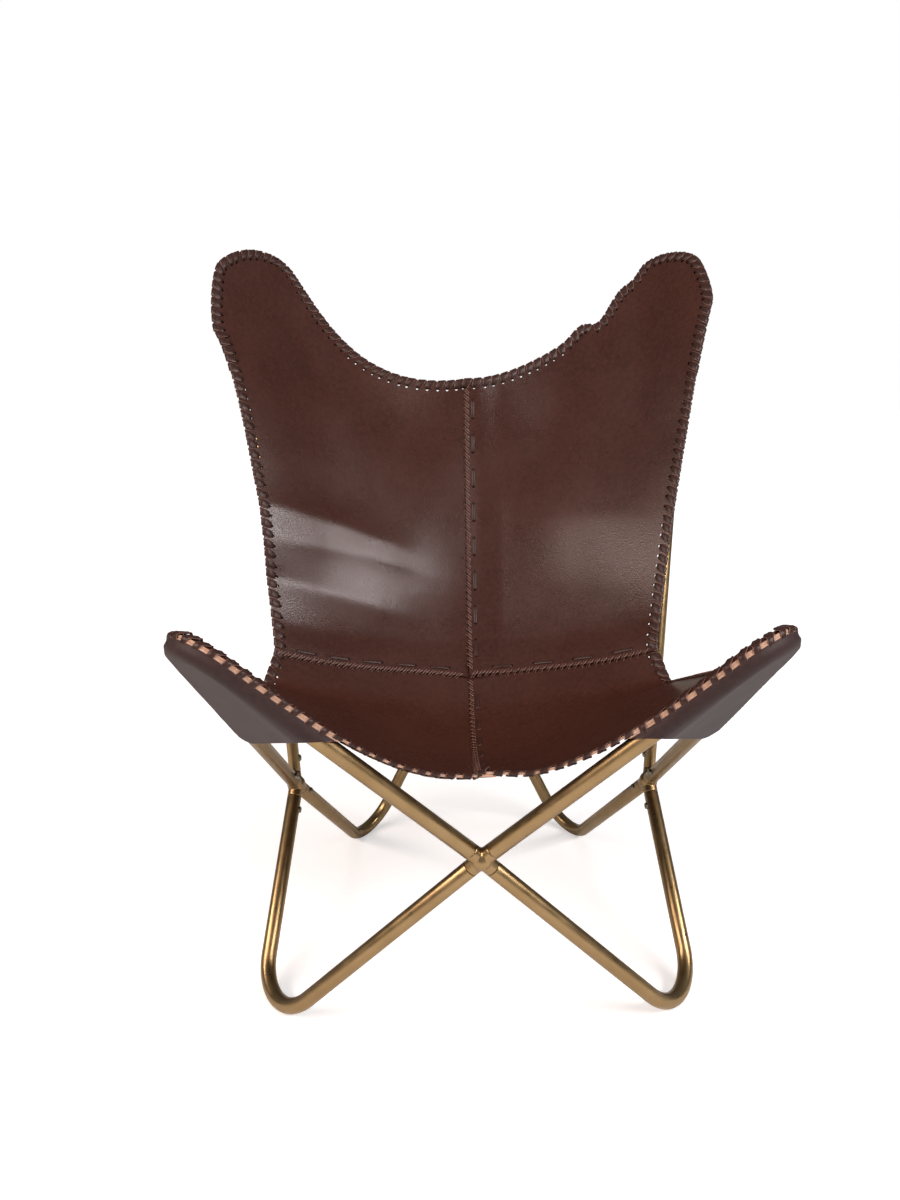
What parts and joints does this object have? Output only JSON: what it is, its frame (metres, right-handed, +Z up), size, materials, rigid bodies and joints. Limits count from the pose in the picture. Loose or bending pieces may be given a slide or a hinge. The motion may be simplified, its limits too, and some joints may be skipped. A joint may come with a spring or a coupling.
{
  "type": "butterfly sling chair",
  "caption": "Low lounge chair: bent steel tubes plugged into cross hubs carry a laced leather sling by pockets at its wings and ears.",
  "frame": {"origin": "on the floor, in the middle of the chair's footprint box", "axes": "+Z up, the sitter faces -Y, +X to the right when seen from the front"},
  "size_m": [0.7396, 0.7416, 0.9406],
  "materials": {
    "gold_tube": "satin gold lacquer on steel tube",
    "screw_steel": "yellow zinc plate",
    "sling_leather": "waxed dark brown hide with a soft sheen",
    "pocket_leather": "matt flesh side, grey-brown",
    "lace": "dark brown thong"
  },
  "bodies": {
    "root": {"tube_front_leg_left": "gold_tube", "tube_rear_leg_left": "gold_tube", "tube_wing_loop_left": "gold_tube", "tube_ear_loop_left": "gold_tube", "tube_front_leg_right": "gold_tube", "tube_rear_leg_right": "gold_tube", "tube_wing_loop_right": "gold_tube", "tube_ear_loop_right": "gold_tube", "hub_front": "gold_tube", "hub_rear": "gold_tube", "hub_left": "gold_tube", "hub_right": "gold_tube", "screw_front_hub_front_leg_left": "screw_steel", "screw_left_hub_front_leg_left": "screw_steel", "screw_rear_hub_rear_leg_left": "screw_steel", "screw_left_hub_rear_leg_left": "screw_steel", "screw_front_hub_wing_loop_left": "screw_steel", "screw_left_hub_wing_loop_left": "screw_steel", "screw_rear_hub_ear_loop_left": "screw_steel", "screw_left_hub_ear_loop_left": "screw_steel", "screw_front_hub_front_leg_right": "screw_steel", "screw_right_hub_front_leg_right": "screw_steel", "screw_rear_hub_rear_leg_right": "screw_steel", "screw_right_hub_rear_leg_right": "screw_steel", "screw_front_hub_wing_loop_right": "screw_steel", "screw_right_hub_wing_loop_right": "screw_steel", "screw_rear_hub_ear_loop_right": "screw_steel", "screw_right_hub_ear_loop_right": "screw_steel", "seat_panel_left": "sling_leather", "back_panel_left": "sling_leather", "wing_pocket_left": "pocket_leather", "ear_pocket_left": "pocket_leather", "seat_panel_right": "sling_leather", "back_panel_right": "sling_leather", "wing_pocket_right": "pocket_leather", "ear_pocket_right": "pocket_leather", "edge_lace_left": "lace", "edge_lace_right": "lace", "edge_lace_front": "lace", "edge_lace_top": "lace", "seam_lace_across_left": "lace", "seam_lace_across_right": "lace", "seam_lace_back": "lace", "seam_lace_seat": "lace"}
  },
  "joints": []
}
